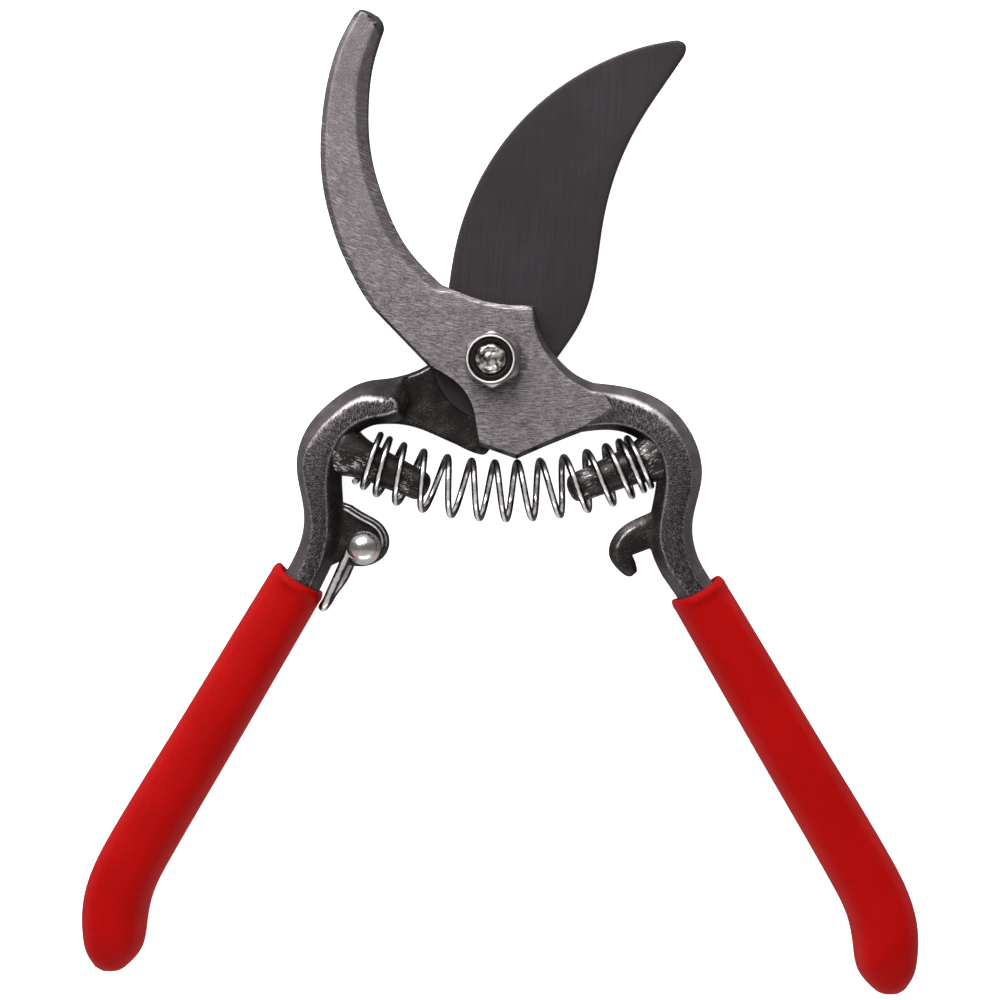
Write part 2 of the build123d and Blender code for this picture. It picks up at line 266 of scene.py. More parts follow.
def blade_rim():
    """Cutting blade, boss and web. The first stretch is the cutting edge."""
    return Rim([
        ([(-9.0, 15.0), (-7.8, 22.2), (-4.8, 31.8), (0.4, 41.4), (8.8, 51.0), (19.2, 58.2), (31.8, 63.0)],
         0.3, 0.1, 1.0, 0.0),
        ([(36.6, 63.85), (38.3, 63.0), (38.3, 61.2)], 0.4, 0.3, 1.0, 0.0),
        ([(38.0, 60.6), (34.6, 55.8), (28.4, 46.2), (24.2, 36.6), (21.8, 27.0), (20.4, 17.4), (17.8, 8.4)],
         0.3, 0.3, 1.0, 0.0),
        ([(13.0, 0.8)], 0.3, 0.3, 1.0, 0.0),
        ([(-0.9, -18.0), (-1.8, -19.0), (-3.4, -18.9)], 0.6, 0.5, 1.0, 0.0),
        ([(-7.5, -17.1), (-11.3, -15.4), (-15.5, -13.7), (-20.0, -12.9)], 0.7, 0.6, 1.0, 0.15),
        ([(-24.2, -13.1)], 0.5, 0.3, 1.0, 0.0),
        ([(-24.0, -5.0)], 0.5, 0.3, 1.0, 0.1),
        ([(-17.6, -3.0), (-14.8, -1.9)], 0.8, 1.2, 1.0, (0.25, 0.75)),
        ([(-12.4, -0.6)], 0.5, 0.3, 1.0, 0.2),
        ([(-11.6, 4.0), (-9.9, 9.0)], 0.3, 0.2, 1.0, 0.0),
    ])


def left_arch_rim():
    """Left arch, neck and tang, with the rounded shoulder that stands over the web."""
    return Rim([
        ([(-17.8, -3.1), (-20.9, -3.8), (-24.9, -4.3), (-28.2, -5.5), (-32.2, -8.2), (-37.3, -13.8),
          (-39.4, -21.0), (-37.9, -31.5), (-38.7, -36.7)],
         (6.2, 4.6, 3.2, 2.8, 2.8, 2.5, 1.8, 1.4, 1.4, 1.6, 2.1, 2.5, 2.4), (5.4, 4.4, 3.3, 3.2, 3.2, 3.2),
         (0.95, 0.8, 0.4, 0.1, 0.0, 0.0, 0.05, 0.1, 0.1, 0.05),
         (0.6, 0.76, 0.58, 0.4, 0.34, 0.34, 0.34, 0.3, 0.25)),
        ([(-43.0, -44.8)], 2.0, 2.0, 0.05, 0.2),
        ([(-45.6, -51.8)], 1.0, 2.0, 0.8, 0.0),
        ([(-41.0, -54.8)], 1.0, 2.0, 0.8, 0.0),
        ([(-36.1, -48.6)], 2.0, 3.0, (0.3, 0.7), 0.3),
        ([(-32.6, -41.4), (-30.6, -36.0), (-30.2, -29.0), (-30.4, -22.0), (-28.6, -16.4), (-24.6, -13.4)],
         (2.0, 2.6, 3.0, 3.2, 3.1, 2.7, 2.2, 1.7, 1.4), 3.2, (0.8, 1.0, 1.0, 1.0), 0.36),
        ([(-21.7, -12.8)], (1.4, 1.8), (3.2, 5.2), 0.97, 0.5),
        ([(-17.9, -12.0), (-16.7, -9.2), (-17.1, -5.6)], (1.9, 3.0, 4.8, 6.2), 5.5, 0.97, (0.5, 0.7, 0.4)),
    ])


def blade_lug_rim():
    """The rounded lug that carries the latch's rivet."""
    return Rim([
        ([(-32.0, -28.0)], 0.5, 0.3, 1.0, 0.0),
        ([(-28.5, -29.2), (-25.6, -31.0), (-22.9, -32.6), (-21.0, -35.8), (-21.4, -38.6), (-24.0, -40.9),
          (-27.6, -41.4)], 0.6, 0.5, 1.0, 0.3),
        ([(-31.0, -40.6)], 0.5, 0.3, 1.0, 0.0),
        ([(-34.0, -42.0)], 0.5, 0.3, 1.0, 0.0),
    ])


# ---- meshes

def make_object(name, verts, faces, materials, places=None):
    """A smooth-shaded mesh object from points in millimetres, its normals turned outwards."""
    mesh = bpy.data.meshes.new(name)
    mesh.from_pydata([tuple(c * MM for c in v) for v in verts], [], faces)
    obj = bpy.data.objects.new(name, mesh)
    bpy.context.scene.collection.objects.link(obj)
    for material in materials:
        mesh.materials.append(material)
    if places is not None:
        mesh.polygons.foreach_set("material_index", np.asarray(places, np.int32))
    for polygon in mesh.polygons:
        polygon.use_smooth = True
    shape = bmesh.new()
    shape.from_mesh(mesh)
    bmesh.ops.recalc_face_normals(shape, faces=shape.faces)
    shape.to_mesh(mesh)
    shape.free()
    mesh.update()
    return obj


def in_chunks(function, q, size=2000):
    """A function of many points, worked out a few thousand at a time."""
    parts = [function(q[i:i + size]) for i in range(0, len(q), size)]
    if isinstance(parts[0], tuple):
        return tuple(np.concatenate(column) for column in zip(*parts))
    return np.concatenate(parts)


def within(rims, q):
    """Whether each point lies inside any of the outlines."""
    return in_chunks(lambda part: np.any([rim.inside(part) for rim in rims], axis=0), q)


def inset(rim, amount):
    """A row of points this far inside an outline, left out where it would cross itself."""
    row = rim.offset(np.broadcast_to(amount, len(rim.points)))
    away = in_chunks(rim.nearest, row)[0]
    return row[(away > 0.93 * amount) & in_chunks(rim.inside, row)]


def distance_to(q, line):
    """Distance of each point to the nearest of a line's points."""
    return np.min(np.hypot(*np.moveaxis(q[:, None] - line, 2, 0)), axis=1)


def turns(count):
    """Evenly spaced angles, once round."""
    return np.arange(count) * 2 * pi / count


def ring(centre, radius, count):
    a = turns(count)
    return np.stack([centre[0] + radius * np.cos(a), centre[1] + radius * np.sin(a)], axis=1)


def seed_points(rims, extra):
    """Points for a relief: rows beside every rim, the extra rows, and a loose fill."""
    rows = []
    for rim in rims:
        rows.append(inset(rim, 0.12))
        rows += [inset(rim, rim.widths * share) for share in (0.12, 0.4, 0.75, 0.97, 1.06, 1.4)]
    edge = np.concatenate([rim.points for rim in rims])
    fixed = np.concatenate(rows + extra)
    low, high = edge.min(0), edge.max(0)
    fill = []
    for i, y in enumerate(np.arange(low[1], high[1], FILL_STEP * 0.866)):
        xs = np.arange(low[0] + (i % 2) * FILL_STEP / 2, high[0], FILL_STEP)
        fill.append(np.stack([xs, np.full(len(xs), y)], axis=1))
    fill = np.concatenate(fill)
    fill = fill[within(rims, fill)]
    taken = np.concatenate([edge, fixed])
    return fixed, fill[in_chunks(lambda q: distance_to(q, taken), fill, 500) > 0.5 * FILL_STEP]


def worth_keeping(corners, rims, holes):
    """Which triangles lie inside a rim and outside the holes, and are more than a line."""
    middle = corners.mean(axis=1)
    kept = within(rims, middle)
    for centre, radius, count in holes:
        kept &= np.hypot(*(middle - centre).T) > radius * cos(pi / count) * 0.999
    spans = corners[:, 1:] - corners[:, :1]
    return kept & (np.abs(spans[:, 0, 0] * spans[:, 1, 1] - spans[:, 0, 1] * spans[:, 1, 0]) > 1e-7)


def flat_mesh(rims, holes, creases, extra):
    """Points and triangles that fill the rims and leave the holes, with edges along every crease."""
    fixed, fill = seed_points(rims, extra)
    for line in creases:
        fixed, fill = (
            q[in_chunks(lambda part: distance_to(part, line), q) > CREASE_GAP] for q in (fixed, fill))
    points, edges = [], []
    for loop in [rim.points for rim in rims] + [ring(*hole) for hole in holes]:
        start = len(points)
        points += [Vector(p) for p in loop]
        edges += [(start + i, start + (i + 1) % len(loop)) for i in range(len(loop))]
    for line in creases:
        start = len(points)
        points += [Vector(p) for p in line]
        edges += [(start + i, start + i + 1) for i in range(len(line) - 1)]
    points += [Vector(p) for p in np.concatenate([fixed, fill])]
    flat, _, triangles, _, _, _ = delaunay_2d_cdt(points, edges, [], 0, 1e-5)
    flat = np.array([tuple(p) for p in flat])
    triangles = np.array(triangles)
    triangles = triangles[worth_keeping(flat[triangles], rims, holes)]
    used, triangles = np.unique(triangles, return_inverse=True)
    return flat[used], triangles.reshape(-1, 3)


def open_sides(triangles):
    """The sides that only one triangle has."""
    sides = {}
    for a, b, c in triangles:
        for pair in ((a, b), (b, c), (c, a)):
            if not sides.pop(pair[::-1], False):
                sides[pair] = True
    return list(sides)


def relief(name, rims, skins, materials, place, marks, holes, creases, extra):
    """A forging: the area inside the rims and outside the holes, between two skins.

    skins(q) gives the upper and lower level at points q, and marks(q) their three attributes.
    place(q, side) gives the material slot of faces at q, where side is 1 above, -1 below and 0 on the
    wall. Holes are (centre, radius, points). Creases are lines that edges follow.
    """
    flat, triangles = flat_mesh(rims, holes, creases, extra)
    upper, lower = in_chunks(skins, flat)
    verts = np.concatenate([np.column_stack([flat, upper]), np.column_stack([flat, lower])])
    count = len(flat)
    walls = open_sides(triangles)
    faces = [tuple(t) for t in triangles] + [tuple(t[::-1] + count) for t in triangles]
    faces += [(b, a, a + count, b + count) for a, b in walls]
    faces = [tuple(int(i) for i in face) for face in faces]
    middle = flat[triangles].mean(axis=1)
    wall_middle = np.array([(flat[a] + flat[b]) / 2 for a, b in walls])
    places = np.concatenate([place(middle, 1), place(middle, -1), place(wall_middle, 0)])
    obj = make_object(name, verts, faces, materials, places)
    for mark, values in zip(MARKS, in_chunks(marks, flat)):
        attribute = obj.data.attributes.new(mark, "FLOAT", "POINT")
        attribute.data.foreach_set("value", np.tile(np.clip(values, 0, 1), 2).astype(np.float32))
    return obj


def rings_object(name, rows, materials, caps=True, places=None):
    """A tube from rows of points, each row one ring: capped at its ends, or joined end to end."""
    rows = [np.asarray(row, float) for row in rows]
    around = len(rows[0])
    faces = []
    for i in range(len(rows) - 1 if caps else len(rows)):
        a, b = i * around, ((i + 1) % len(rows)) * around
        for j in range(around):
            k = (j + 1) % around
            faces.append((a + j, a + k, b + k, b + j))
    if caps:
        faces.append(tuple(range(around))[::-1])
        faces.append(tuple((len(rows) - 1) * around + j for j in range(around)))
    return make_object(name, np.concatenate(rows), faces, materials, places)


def circle_rows(profile, around=AROUND, wobble=0.0):
    """A circle of points for each (radius, height) of a profile, made uneven by the wobble."""
    a = turns(around)
    rows = []
    for radius, z in profile:
        lift = np.array([wobble * noise.noise((radius * cos(t), radius * sin(t), 7.0)) for t in a])
        rows.append(np.column_stack([radius * np.cos(a), radius * np.sin(a), z + lift]))
    return rows


def lathe(name, profile, materials, placing, around):
    """A turned piece from (radius, height) pairs, moved to where it lies by a matrix."""
    rows = [[placing @ Vector(point) for point in row] for row in circle_rows(profile, around)]
    return rings_object(name, rows, materials)


def swept_tube(name, path, radius, materials, around):
    """A round wire along a smooth path, its ends closed."""
    path = np.asarray(path, float)
    forward = np.gradient(path, axis=0)
    forward /= np.linalg.norm(forward, axis=1)[:, None]
    side = np.array((0.0, 0.0, 1.0))
    a = turns(around)[:, None]
    rows = []
    for point, heading in zip(path, forward):
        side = side - heading * (side @ heading)
        side /= np.linalg.norm(side)
        other = np.cross(heading, side)
        rows.append(point + radius * (np.cos(a) * side + np.sin(a) * other))
    rows = [path[0] + (rows[0] - path[0]) * 0.7 - forward[0] * 0.2 * radius] + rows
    rows += [path[-1] + (rows[-1] - path[-1]) * 0.7 + forward[-1] * 0.2 * radius]
    return rings_object(name, rows, materials)


# ---- materials

NUT_SHADOW_CENTRE = (0.0004, -0.0009, 0.0)     # middle of the painted shadow round the nut, set off below and right of its axis, in metres


def linear(level):
    """A display level, 0 to 255, as a linear one, 0 to 1."""
    share = level / 255
    return share / 12.92 if level <= 10 else ((share + 0.055) / 1.055) ** 2.4


def srgb(red, green, blue):
    """A display colour as the linear colour that a shader takes."""
    return linear(red), linear(green), linear(blue), 1


def set_stops(ramp_node, stops):
    """Gives a colour ramp its stops of (position, linear colour)."""
    elements = ramp_node.color_ramp.elements
    while len(elements) < len(stops):
        elements.new(0.5)
    for element, (position, colour) in zip(elements, stops):
        element.position = position
        element.color = colour


class Look:
    """One procedural material, made round a Principled shader."""

    def __init__(self, name, **values):
        self.material = bpy.data.materials.new(name)
        self.material.use_nodes = True
        self.tree = self.material.node_tree
        self.shader = self.tree.nodes["Principled BSDF"]
        self.place = self.node("TexCoord").outputs["Object"]
        for key, value in values.items():
            self.shader.inputs[key.replace("_", " ")].default_value = value

    def node(self, kind, inputs=(), **settings):
        """A node with its settings, and its inputs linked or set."""
        made = self.tree.nodes.new("ShaderNode" + kind)
        for key, value in settings.items():
            setattr(made, key, value)
        for key, value in dict(inputs).items():
            if isinstance(value, bpy.types.NodeSocket):
                self.tree.links.new(value, made.inputs[key])
            else:
                made.inputs[key].default_value = value
        return made

    def stretched(self, scale, turn):
        """Object coordinates turned about Z and scaled, to draw a pattern out along one direction."""
        turned = self.node("Mapping", {0: self.place, "Rotation": (0, 0, radians(turn))})
        return self.node("Mapping", {0: turned.outputs[0], "Scale": scale}).outputs[0]

    def mark(self, name):
        """A point attribute of the mesh."""
        return self.node("Attribute", attribute_name=name).outputs["Fac"]

    def arcs(self, centre, across, along, mirrored=False):
        """Coordinates that run across and along circles about a point, or about it and its mirror image."""
        split = self.node("SeparateXYZ", {0: self.place})
        x = self.maths("ABSOLUTE", split.outputs["X"]) if mirrored else split.outputs["X"]
        x, y = self.maths("SUBTRACT", x, centre[0]), self.maths("SUBTRACT", split.outputs["Y"], centre[1])
        flat = self.node("CombineXYZ", {0: x, 1: y})
        length = self.node("VectorMath", {0: flat.outputs[0]}, operation="LENGTH").outputs["Value"]
        angle = self.maths("ARCTAN2", y, x)
        return self.node("CombineXYZ", {
            0: self.maths("MULTIPLY", length, across), 1: self.maths("MULTIPLY", angle, along)}).outputs[0]

    def from_axis(self, centre):
        """Distance from an upright axis through a point."""
        offset = self.node("VectorMath", {0: self.place, 1: centre}, operation="SUBTRACT")
        flat = self.node("VectorMath", {0: offset.outputs[0], 1: (1, 1, 0)}, operation="MULTIPLY")
        return self.node("VectorMath", {0: flat.outputs[0]}, operation="LENGTH").outputs["Value"]

    def mixed(self, *layers):
        """Sum of (value, share) layers."""
        total = self.maths("MULTIPLY", *layers[0])
        for value, share in layers[1:]:
            total = self.maths("ADD", total, self.maths("MULTIPLY", value, share))
        return total

    def maths(self, operation, a, b=0.0):
        return self.node("Math", {0: a, 1: b}, operation=operation).outputs[0]

    def mottle(self, scale, detail, rough, vector=None):
        """Noise from 0 to 1. The scale is in features per metre."""
        inputs = {"Vector": vector or self.place, "Scale": scale, "Detail": detail, "Roughness": rough}
        return self.node("TexNoise", inputs).outputs["Fac"]

    def remap(self, value, low, high, new_low=0.0, new_high=1.0):
        inputs = {"Value": value, "From Min": low, "From Max": high, "To Min": new_low, "To Max": new_high}
        return self.node("MapRange", inputs, clamp=True).outputs[0]

    def blended(self, fac, low, high):
        """A mix of two values or colours that vary over the surface."""
        return self.node("Mix", {0: fac, 6: low, 7: high}, data_type="RGBA").outputs[2]

    def colours(self, value, stops):
        """Colour from a value, through stops of (value, display colour)."""
        ramp_node = self.node("ValToRGB", {0: value})
        set_stops(ramp_node, [(position, srgb(*colour)) for position, colour in stops])
        return ramp_node.outputs["Color"]

    def finished(self, colour, rough=None, *layers):
        """The material, once its colour, its roughness and its relief are linked. The relief is given as
        layers of (height, strength, depth in metres), coarsest first."""
        linked = {"Base Color": colour, "Roughness": rough}
        for height, strength, depth in layers:
            inputs = {"Height": height, "Strength": strength, "Distance": depth}
            if "Normal" in linked:
                inputs["Normal"] = linked["Normal"]
            linked["Normal"] = self.node("Bump", inputs).outputs["Normal"]
        for key, value in linked.items():
            if value is not None:
                self.tree.links.new(value, self.shader.inputs[key])
        return self.material


def ground_look():
    """Coarse belt grinding: short arced scratches, fine pits near the tip and a painted shadow round the nut.
    """
    look = Look("ground steel", Metallic=0.75, Specular_IOR_Level=0.5)
    centre = (0.005, 0.099)
    fine = look.mottle(1.0, 2.0, 0.7, look.arcs(centre, 8400, 70))
    broad = look.mottle(1.0, 2.0, 0.5, look.arcs(centre, 5200, 26))
    nicks = look.mottle(1.0, 1.0, 0.5, look.arcs(centre, 6400, 26))
    specks = look.mottle(4600, 2.0, 0.65)
    blotch = look.mottle(420, 2.0, 0.5)
    height = look.node("SeparateXYZ", {0: look.place}).outputs["Y"]
    near_tip = look.remap(height, 0.044, 0.058, 0.0, 0.85)
    pits = look.remap(specks, 0.0, 1.0, 0.32, 0.68)
    grain = look.blended(near_tip, look.mixed((fine, 0.72), (broad, 0.28)), pits)
    tone = look.mixed((grain, 0.62), (specks, 0.28), (blotch, 0.1))
    even = look.remap(look.mottle(200, 1.0, 0.5), 0.0, 1.0, 0.46, 0.54)
    tone = look.blended(look.remap(height, 0.01, 0.026, 0.0, 0.45), tone, even)
    steel = look.colours(tone, [(0.41, (78, 71, 75)), (0.5, (131, 123, 127)), (0.59, (192, 184, 188))])
    # Painted shadow: a soft dark ring round the nut, set off below and to its right.
    painted_nut_shadow = look.remap(look.from_axis(NUT_SHADOW_CENTRE), 0.0056, 0.0068, 0.5, 0.0)
    steel = look.blended(painted_nut_shadow, steel, srgb(44, 40, 41))
    # Darkened where the darkness mark is set: dark scale, with painted shade along the hook's upper outline.
    steel = look.blended(look.mark("darkness_and_shade"), steel, srgb(62, 56, 60))
    below_tip = look.remap(height, 0.044, 0.056, 1.0, 0.12)
    scratched = look.maths("MULTIPLY", look.remap(nicks, 0.6, 0.68, 0.0, 0.7), below_tip)
    steel = look.blended(scratched, steel, srgb(212, 205, 208))
    return look.finished(steel, look.remap(tone, 0.4, 0.6, 0.5, 0.34), (grain, 0.5, 0.00005))


def forged_look():
    """Drop-forged skin: lacquered flanks, hammered rib tops, dark scale with painted shade, and edges
    worn bright with painted highlights.
    """
    look = Look("forged steel", Metallic=0.7, Specular_IOR_Level=0.5)
    rib, darkness_and_shade, shine = (look.mark(name) for name in MARKS)
    cloud = look.mottle(240, 3.0, 0.55)
    specks = look.mottle(4000, 2.0, 0.7)
    strokes = look.mottle(1.0, 2.0, 0.6, look.arcs((0.0275, -0.024), 1000, 62, mirrored=True))
    grain = look.mixed((specks, 0.45), (strokes, 0.55))
    smooth = look.mixed((cloud, 0.65), (specks, 0.35))
    hammered = look.colours(grain, [(0.41, (34, 30, 32)), (0.5, (67, 61, 64)), (0.61, (146, 138, 142))])
    flank = look.colours(smooth, [(0.34, (88, 81, 84)), (0.5, (106, 99, 103)), (0.66, (126, 118, 122))])
    scale = look.colours(look.mixed((cloud, 0.4), (specks, 0.6)), [
        (0.38, (24, 21, 20)), (0.54, (42, 37, 36)), (0.66, (108, 101, 98))])
    # Dark scale where the darkness mark is set, and the painted shade that the same mark carries.
    skin = look.blended(darkness_and_shade, look.blended(rib, flank, hammered), scale)
    brightness = look.remap(look.mixed((shine, 1.5), (grain, 1.8)), 1.15, 2.15)
    rubbed_and_highlit = look.maths("MULTIPLY", brightness, look.remap(shine, 0.04, 0.3))
    # Near-white along the ridges: rubbed edges together with a painted highlight.
    skin = look.blended(rubbed_and_highlit, skin, srgb(240, 234, 236))
    dull = look.remap(smooth, 0.3, 0.7, 0.5, 0.4)
    rough = look.maths("SUBTRACT", dull, look.maths("MULTIPLY", rubbed_and_highlit, 0.12))
    relief_strength = look.mixed((rib, 0.55), (shine, 0.2))
    return look.finished(skin, rough, (cloud, 0.3, 0.00014), (grain, relief_strength, 0.0001))


def peg_look():
    """Dark scale with bright lengthways streaks: scratches where the coils rub, and painted glints."""
    look = Look("dark forged steel", Metallic=0.5, Specular_IOR_Level=0.5)
    cloud = look.mottle(420, 4.0, 0.6)
    specks = look.mottle(2400, 3.0, 0.7)
    strokes = look.mottle(1.0, 2.0, 0.6, look.arcs((-0.058, 0.161), 3400, 110, mirrored=True))
    tone = look.mixed((cloud, 0.5), (specks, 0.5))
    patches = look.mottle(300, 1.0, 0.5)
    # Bright streaks: scratches together with painted glints.
    scratches_and_glints = look.remap(look.mixed((patches, 0.35), (strokes, 0.4), (specks, 0.25)), 0.55, 0.63)
    scale = look.colours(tone, [(0.3, (24, 21, 20)), (0.56, (44, 39, 38)), (0.68, (80, 74, 72))])
    scale = look.blended(scratches_and_glints, scale, srgb(196, 190, 190))
    rough = look.remap(tone, 0.35, 0.65, 0.5, 0.3)
    return look.finished(scale, rough, (cloud, 0.5, 0.0003), (specks, 0.5, 0.00008))


def blade_look():
    """Dark coated blade with faint lengthways grinding marks."""
    look = Look("coated blade steel", Metallic=0.6, Specular_IOR_Level=0.5)
    streaks = look.mottle(1.0, 4.0, 0.6, look.stretched((3800, 90, 90), 4))
    cloud = look.mottle(60, 3.0, 0.5)
    specks = look.mottle(2600, 2.0, 0.5)
    tone = look.mixed((streaks, 0.4), (cloud, 0.6))
    coat = look.colours(tone, [(0.32, (52, 46, 48)), (0.52, (60, 54, 57)), (0.7, (72, 66, 70))])
    rough = look.remap(tone, 0.3, 0.7, 0.44, 0.34)
    return look.finished(coat, rough, (streaks, 0.12, 0.00004), (specks, 0.15, 0.00002))


def vinyl_look():
    """Dipped red vinyl: dull, with slight sags and a faint orange peel."""
    look = Look("red vinyl", Specular_IOR_Level=0.05)
    sags = look.mottle(90, 2.0, 0.5)
    peel = look.mottle(1700, 2.0, 0.5)
    tone = look.mixed((sags, 0.5), (peel, 0.5))
    red = look.colours(tone, [(0.32, (147, 5, 5)), (0.5, (154, 7, 6)), (0.68, (161, 9, 8))])
    rough = look.remap(tone, 0.3, 0.7, 0.6, 0.5)
    return look.finished(red, rough, (sags, 0.15, 0.0004), (peel, 0.12, 0.00003))


def plating_look(name, colours, rough, metallic=1.0):
    """Bright plating with fine handling scratches."""
    look = Look(name, Metallic=metallic)
    cloud = look.mottle(500, 3.0, 0.6)
    scratches = look.mottle(1.0, 3.0, 0.6, look.stretched((5000, 500, 500), 25))
    tone = look.mixed((cloud, 0.6), (scratches, 0.4))
    metal = look.colours(tone, [(0.3, colours[0]), (0.65, colours[1])])
    return look.finished(metal, look.remap(tone, 0.3, 0.7, *rough), (scratches, 0.08, 0.00002))


def wire_look():
    """Bright steel wire with painted light: a painted highlight where it faces along Y and Z, painted
    shade where it faces along X and where the mesh is marked dark.
    """
    look = Look("bright wire", Metallic=0.75)
    facing = look.node("TexCoord").outputs["Normal"]
    # Painted light: the wire is coloured by its normal, near white facing along Y and Z, near black facing
    # along X.
    sideways = look.maths("ABSOLUTE", look.node("SeparateXYZ", {0: facing}).outputs["X"])
    cloud = look.mottle(700, 3.0, 0.6)
    tone = look.mixed((sideways, 0.75), (cloud, 0.5))
    painted_wire_sheen = look.colours(tone, [
        (0.42, (252, 247, 246)), (0.53, (200, 194, 193)), (0.66, (70, 64, 64)), (0.78, (20, 17, 17))])
    # Painted shade where the mesh's darkness mark is set.
    painted_wire_sheen = look.blended(look.mark("darkness_and_shade"), painted_wire_sheen, srgb(30, 26, 26))
    return look.finished(painted_wire_sheen, look.remap(cloud, 0.3, 0.7, 0.22, 0.14))


def worn_end_look():
    """The bolt's battered end: bright high spots and black hollows."""
    look = Look("worn thread end", Metallic=0.8)
    tone = look.mixed((look.mottle(600, 1.0, 0.5), 0.6), (look.mottle(1500, 2.0, 0.6), 0.4))
    metal = look.colours(tone, [(0.4, (44, 40, 38)), (0.5, (150, 145, 140)), (0.6, (240, 235, 230))])
    return look.finished(metal, look.remap(tone, 0.35, 0.65, 0.4, 0.28), (tone, 0.6, 0.0004))


def nylon_look():
    look = Look("dark nylon", Specular_IOR_Level=0.25)
    cloud = look.mottle(900, 3.0, 0.6)
    black = look.colours(cloud, [(0.3, (10, 8, 8)), (0.7, (22, 19, 18))])
    return look.finished(black, look.remap(cloud, 0.3, 0.7, 0.55, 0.4), (cloud, 0.3, 0.00005))


def floor_look():
    look = Look("pale floor", Specular_IOR_Level=0.1, Roughness=0.9, Emission_Strength=0.85)
    cloud = look.mottle(6, 2.0, 0.5)
    return look.finished(look.colours(cloud, [(0.3, (244, 244, 244)), (0.7, (250, 250, 250))]))


# ---- forgings

NOWHERE = -50.0                                           # level of a shelf outside its rim
BEVEL_FROM = 9.5                                          # past this line the edge bands are ground too
GRIND_END = ((17.5, -13.7), (23.5, -9.9), (22.0, -7.5))   # V where the cheek's ground face stops
ARCH_START = ((17.9, -13.5), (19.9, -4.8))                # full thickness right of this line
WEB_LINE = ((3.0, -12.6), (-9.0, 4.0))                    # the rough web lies left of this line


def past(q, a, b):
    """How far points lie to the right of the line from a to b."""
    along = np.subtract(b, a) / hypot(b[0] - a[0], b[1] - a[1])
    return (q - a) @ np.array([along[1], -along[0]])


def beyond_grinding(q):
    """How far points lie past the end of the cheek's ground face."""
    low, tip, high = GRIND_END
    return np.maximum(past(q, low, tip), past(q, tip, high))


def bumps(q, size, height, seed=0.0):
    """Slow unevenness of a forged skin."""
    return height * np.array([noise.noise((x / size, y / size, seed)) for x, y in q])


def shelf(rim, q, top, edge=0.15):
    """Level of a plateau that falls away across its rim's band; it is nowhere outside the rim."""
    away, values = rim.nearest(q)
    share = np.minimum(away / values[:, 0], 1.6)
    level = soft_min(top, top - values[:, 1] * (1 - share), edge)
    return np.where(rim.inside(q) | (away < 0.001), level, NOWHERE)


def band_marks(rim, q):
    """Where points lie on the plateau inside the edge band, the band's darkness (dark scale with painted
    shade), and the ridge's brightness (rubbing with a painted highlight and a painted glow beside it).
    """
    away, values = rim.nearest(q)
    width, _, darkness_and_shade, wear_and_sheen = values.T
    plateau = ramp(away / width, 0.9, 1.06)
    # Painted highlight along the ridge, and a broad painted glow on the plateau beside it.
    ridge = np.exp(-((away - width) / (0.18 + 0.17 * width * wear_and_sheen ** 2)) ** 2)
    glow = 0.3 * wear_and_sheen ** 2 * ramp(width, 1.0, 2.0) * np.exp(-((away - width) / 1.6) ** 2) * (away > width)
    return away, plateau, darkness_and_shade, wear_and_sheen * np.maximum(ridge, glow)


def hook_forging(looks):
    body, lug = hook_rim(), hook_lug_rim()

    def skins(q):
        beyond = beyond_grinding(q)
        top = CHEEK - 0.25 * ramp(beyond, 0.0, 0.25) + 0.6 * ramp(beyond, 1.0, 12.0)
        rough = ramp(beyond, 0.0, 2.0)
        level = shelf(body, q, top, 0.12 + 1.5 * ramp(beyond, -1.0, 5.0))
        level = level + rough * bumps(q, 1.6, 0.10) - 0.10 * rough
        hooked = shelf(lug, q, LAP + LUG_HALF, 0.7) + bumps(q, 2.2, 0.06, 4.0)
        upper = soft_max(level, hooked, 0.6)
        thick = ramp(past(q, *ARCH_START), 0.0, 1.2)
        return upper, LAP - (upper - LAP) * thick

    def hollow(q):
        """The smooth dark corner between the ground face's end and the arch's inner edge."""
        past_end = ramp(past(q, *GRIND_END[:2]), 0.0, 0.6)
        return past_end * ramp(28.0 - q[:, 0], 0.0, 6.0) * ramp(-q[:, 1], 10.0, 11.5)

    def marks(q):
        away, plateau, darkness_and_shade, shine = band_marks(body, q)
        on_body = body.inside(q) | (away < 0.001)
        lower = 0.45 * ramp(-q[:, 1], 13.0, 27.0) * ramp(q[:, 0], 20.0, 26.0)
        darkness_and_shade = darkness_and_shade * (1 - plateau) + plateau * np.maximum(lower, 0.7 * hollow(q))
        # Painted shade: a thin dark line just inside the hook's upper outline, right of x = -29.5.
        line = (1 - ramp(away, 0.05, 0.4)) * ramp(q[:, 1], 10.0, 14.0) * (q[:, 0] > -29.5)
        _, _, lug_soot, lug_shine = band_marks(lug, q)
        rib = np.where(on_body, plateau * (1 - 0.5 * hollow(q)), 0.3)
        return rib, np.where(on_body, np.maximum(darkness_and_shade, line), lug_soot), np.where(on_body, shine, lug_shine)

    def place(q, side):
        away, values = body.nearest(q)
        thin = past(q, *ARCH_START) <= 0.6
        bevelled = q[:, 1] > BEVEL_FROM
        ground = body.inside(q) & (beyond_grinding(q) < 0) & ((away > 0.95 * values[:, 0]) | bevelled)
        if side < 0:
            ground = thin
        return np.where(ground & (side != 0), GROUND, FORGED)

    crease = np.concatenate([curve_through(GRIND_END[:2], 0.4)[:-1], curve_through(GRIND_END[1:], 0.4)])
    beside = [crease + offset for offset in ((0.3, 0.0), (-0.3, 0.0))]
    centre_hole = ((0.0, 0.0), SHANK_RADIUS, 48)
    rows = [ring((0, 0), r, 60) for r in (3.3, 3.9)] + beside
    return relief("hook_forging", [body, lug], skins, looks, place, marks, [centre_hole], [crease], rows)


def cut_level(q, edge):
    """Level of the blade's back: flat, with the bevel ground up to the cutting edge."""
    points = edge[::2]
    away = to_segments(q, points[:-1], np.diff(points, axis=0))[1].min(axis=1)
    bevel = BLADE_BACK + (LAP - PLAY - 0.3 - BLADE_BACK) * (1 - away / 6.0)
    return soft_max(BLADE_BACK, bevel, 0.1)


